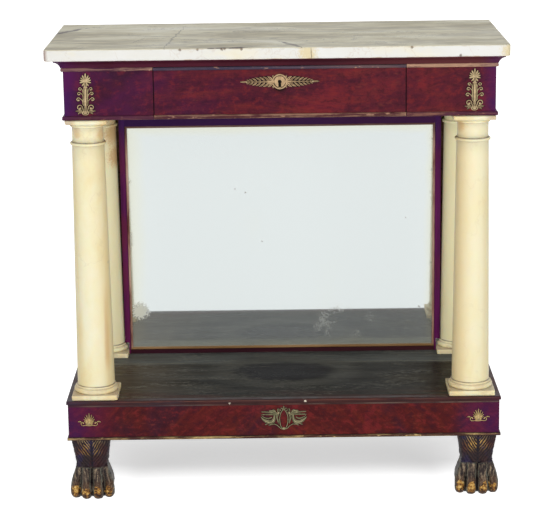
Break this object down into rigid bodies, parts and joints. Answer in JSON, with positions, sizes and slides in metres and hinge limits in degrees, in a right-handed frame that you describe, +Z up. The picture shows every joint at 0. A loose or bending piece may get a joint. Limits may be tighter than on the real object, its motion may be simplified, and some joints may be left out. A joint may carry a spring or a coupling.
{
  "type": "pier table",
  "caption": "Neoclassical pier table: marble slab over a drawer frieze, turned stone columns before a framed mirror, plinth shelf and carved paw feet.",
  "frame": {"origin": "on the floor, under the middle of the case's width and of the marble's depth", "axes": "+Z up, +X to the right seen from the front, the front faces -Y"},
  "size_m": [0.96, 0.425, 0.978],
  "materials": {
    "back_panel": "plain planed pine and poplar",
    "base_front_left": "polished cream alabaster with tan veins",
    "base_front_right": "polished cream alabaster with tan veins",
    "bases_rear": "polished cream alabaster with tan veins",
    "capital_front_left": "polished cream alabaster with tan veins",
    "capital_front_right": "polished cream alabaster with tan veins",
    "capitals_rear": "polished cream alabaster with tan veins",
    "cornice_front": "french-polished figured mahogany",
    "cornice_left": "french-polished figured mahogany",
    "cornice_right": "french-polished figured mahogany",
    "drawer_back": "plain planed pine and poplar",
    "drawer_beads": "gilded bead worn back to the red ground",
    "drawer_bottom": "plain planed pine and poplar",
    "drawer_bottom_rail": "plain planed pine and poplar",
    "drawer_front": "french-polished figured mahogany",
    "drawer_kickers": "plain planed pine and poplar",
    "drawer_runners": "plain planed pine and poplar",
    "drawer_sides": "plain planed pine and poplar",
    "drawer_stops": "plain planed pine and poplar",
    "drawer_top_rail": "french-polished figured mahogany",
    "escutcheon": "lacquered cast and pressed brass, aged",
    "escutcheon_pins": "lacquered cast and pressed brass, aged",
    "foot_dowels": "plain planed pine and poplar",
    "frieze_back": "plain planed pine and poplar",
    "frieze_corner_blocks": "plain planed pine and poplar",
    "frieze_end_left": "french-polished figured mahogany",
    "frieze_end_right": "french-polished figured mahogany",
    "frieze_mount_left": "lacquered cast and pressed brass, aged",
    "frieze_mount_right": "lacquered cast and pressed brass, aged",
    "frieze_sides": "french-polished figured mahogany",
    "lock_bolt": "lacquered cast and pressed brass, aged",
    "lock_case": "lacquered cast and pressed brass, aged",
    "lock_cover": "lacquered cast and pressed brass, aged",
    "lock_screws": "dull wrought bar",
    "lower_bead": "gilded bead worn back to the red ground",
    "marble_top": "honed grey-cream veined marble, worn arrises",
    "mirror_backboard": "plain planed pine and poplar",
    "mirror_bead": "gilded bead worn back to the red ground",
    "mirror_glass": "aged silvered plate",
    "mirror_rails": "french-polished figured mahogany",
    "mirror_stiles": "french-polished figured mahogany",
    "mount_pins": "lacquered cast and pressed brass, aged",
    "paw_foot_left": "carved, dark verd-antique paint with worn gilding",
    "paw_foot_right": "carved, dark verd-antique paint with worn gilding",
    "plinth_back": "plain planed pine and poplar",
    "plinth_bead": "gilded bead worn back to the red ground",
    "plinth_blocks": "plain planed pine and poplar",
    "plinth_corner_mounts": "lacquered cast and pressed brass, aged",
    "plinth_front": "french-polished figured mahogany",
    "plinth_mount_centre": "lacquered cast and pressed brass, aged",
    "plinth_sides": "french-polished figured mahogany",
    "rear_feet": "plain planed pine and poplar",
    "shaft_front_left": "polished cream alabaster with tan veins",
    "shaft_front_right": "polished cream alabaster with tan veins",
    "shafts_rear": "polished cream alabaster with tan veins",
    "shelf_board": "french-polished figured mahogany",
    "shelf_edging": "french-polished figured mahogany",
    "tie_rod_nuts": "dull wrought bar",
    "tie_rods": "dull wrought bar",
    "upper_bead": "gilded bead worn back to the red ground"
  },
  "bodies": {
    "case": {"back_panel": "back_panel", "base_front_left": "base_front_left", "base_front_right": "base_front_right", "bases_rear": "bases_rear", "capital_front_left": "capital_front_left", "capital_front_right": "capital_front_right", "capitals_rear": "capitals_rear", "cornice_front": "cornice_front", "cornice_left": "cornice_left", "cornice_right": "cornice_right", "drawer_bottom_rail": "drawer_bottom_rail", "drawer_kickers": "drawer_kickers", "drawer_runners": "drawer_runners", "drawer_stops": "drawer_stops", "drawer_top_rail": "drawer_top_rail", "foot_dowels": "foot_dowels", "frieze_back": "frieze_back", "frieze_corner_blocks": "frieze_corner_blocks", "frieze_end_left": "frieze_end_left", "frieze_end_right": "frieze_end_right", "frieze_mount_left": "frieze_mount_left", "frieze_mount_right": "frieze_mount_right", "frieze_sides": "frieze_sides", "lower_bead": "lower_bead", "marble_top": "marble_top", "mirror_backboard": "mirror_backboard", "mirror_bead": "mirror_bead", "mirror_glass": "mirror_glass", "mirror_rails": "mirror_rails", "mirror_stiles": "mirror_stiles", "mount_pins": "mount_pins", "paw_foot_left": "paw_foot_left", "paw_foot_right": "paw_foot_right", "plinth_back": "plinth_back", "plinth_bead": "plinth_bead", "plinth_blocks": "plinth_blocks", "plinth_corner_mounts": "plinth_corner_mounts", "plinth_front": "plinth_front", "plinth_mount_centre": "plinth_mount_centre", "plinth_sides": "plinth_sides", "rear_feet": "rear_feet", "shaft_front_left": "shaft_front_left", "shaft_front_right": "shaft_front_right", "shafts_rear": "shafts_rear", "shelf_board": "shelf_board", "shelf_edging": "shelf_edging", "tie_rod_nuts": "tie_rod_nuts", "tie_rods": "tie_rods", "upper_bead": "upper_bead"},
    "drawer": {"drawer_front": "drawer_front", "drawer_sides": "drawer_sides", "drawer_back": "drawer_back", "drawer_bottom": "drawer_bottom", "drawer_beads": "drawer_beads", "escutcheon": "escutcheon", "escutcheon_pins": "escutcheon_pins", "lock_case": "lock_case", "lock_cover": "lock_cover", "lock_screws": "lock_screws"},
    "bolt": {"lock_bolt": "lock_bolt"}
  },
  "joints": [
    {"name": "drawer_slide", "type": "slide", "parent": "case", "child": "drawer", "axis": [0, -1, 0], "range_m": [0, 0.26]},
    {"name": "bolt_slide", "type": "slide", "parent": "drawer", "child": "bolt", "axis": [0, 0, 1], "range_m": [0, 0.008]}
  ]
}
